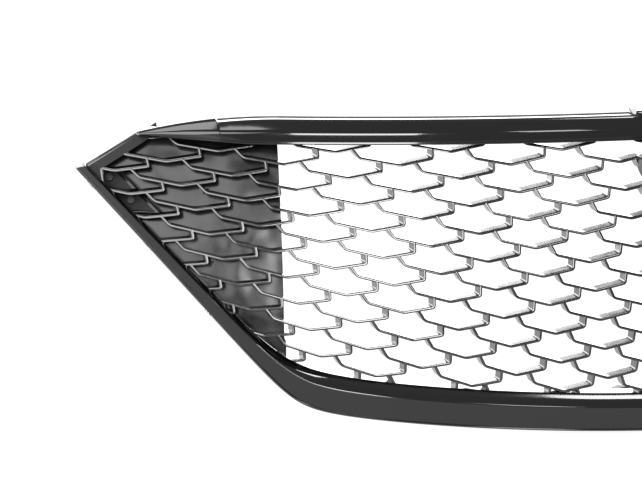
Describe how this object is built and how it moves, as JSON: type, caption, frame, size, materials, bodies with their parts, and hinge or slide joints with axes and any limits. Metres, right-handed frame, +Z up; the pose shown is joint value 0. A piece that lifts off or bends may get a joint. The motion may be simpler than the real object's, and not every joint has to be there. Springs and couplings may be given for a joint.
{
  "type": "front grille",
  "caption": "Wide bowed black mesh grille with gloss upper and lower moldings, blanked pointed wings, an oval badge seat and fixing brackets behind.",
  "frame": {"origin": "midway between the two inner fixing holes, on the underside of the upper bracket's tabs", "axes": "+X across the car (to the right seen from the front), +Y to the rear of the car, +Z up"},
  "size_m": [1.108, 0.2085, 0.2767],
  "materials": {
    "mesh_black": "moulded black plastic, high gloss, softly rounded strand fronts",
    "gloss_black": "piano-black gloss plastic with faint orange peel",
    "satin_black": "semi-gloss moulded black plastic with a fine grain",
    "badge_face": "plain domed gloss-black blank, no mark",
    "bracket_black": "black e-coated pressed steel",
    "bracket_steel": "zinc-plated pressed steel",
    "fastener_steel": "zinc-plated steel",
    "seal_rubber": "black EPDM seal strip",
    "pad_felt": "dark anti-rattle felt",
    "retainer_black": "black nylon push retainer"
  },
  "bodies": {
    "grille": {"mesh_insert": "mesh_black", "upper_molding": "gloss_black", "lower_molding": "gloss_black", "blanking_panel_left": "satin_black", "blanking_panel_right": "satin_black", "badge_base": "gloss_black", "badge_blank": "badge_face", "badge_screws": "fastener_steel", "upper_bracket": "bracket_black", "lower_rail": "bracket_black", "side_bracket_left": "bracket_steel", "side_bracket_right": "bracket_steel", "upper_seal_left": "seal_rubber", "upper_seal_right": "seal_rubber", "anti_rattle_pads": "pad_felt", "upper_molding_screws": "fastener_steel", "lower_molding_screws": "fastener_steel", "panel_screws_left": "fastener_steel", "panel_screws_right": "fastener_steel", "side_bracket_screws_left": "fastener_steel", "side_bracket_screws_right": "fastener_steel", "molding_clips_left": "fastener_steel", "molding_clips_right": "fastener_steel", "retainer_bodies_left": "retainer_black", "retainer_bodies_right": "retainer_black"},
    "pin_left_lower": {"retainer_pin_left_lower": "retainer_black"},
    "pin_left_upper": {"retainer_pin_left_upper": "retainer_black"},
    "pin_right_lower": {"retainer_pin_right_lower": "retainer_black"},
    "pin_right_upper": {"retainer_pin_right_upper": "retainer_black"}
  },
  "joints": [
    {"name": "pin_slide_left_lower", "type": "slide", "parent": "grille", "child": "pin_left_lower", "axis": [0.4083, 0.8234, -0.394], "range_m": [0, 0.006]},
    {"name": "pin_slide_left_upper", "type": "slide", "parent": "grille", "child": "pin_left_upper", "axis": [0.4236, 0.8156, -0.394], "range_m": [0, 0.006]},
    {"name": "pin_slide_right_lower", "type": "slide", "parent": "grille", "child": "pin_right_lower", "axis": [-0.4083, 0.8234, -0.394], "range_m": [0, 0.006]},
    {"name": "pin_slide_right_upper", "type": "slide", "parent": "grille", "child": "pin_right_upper", "axis": [-0.4236, 0.8156, -0.394], "range_m": [0, 0.006]}
  ]
}
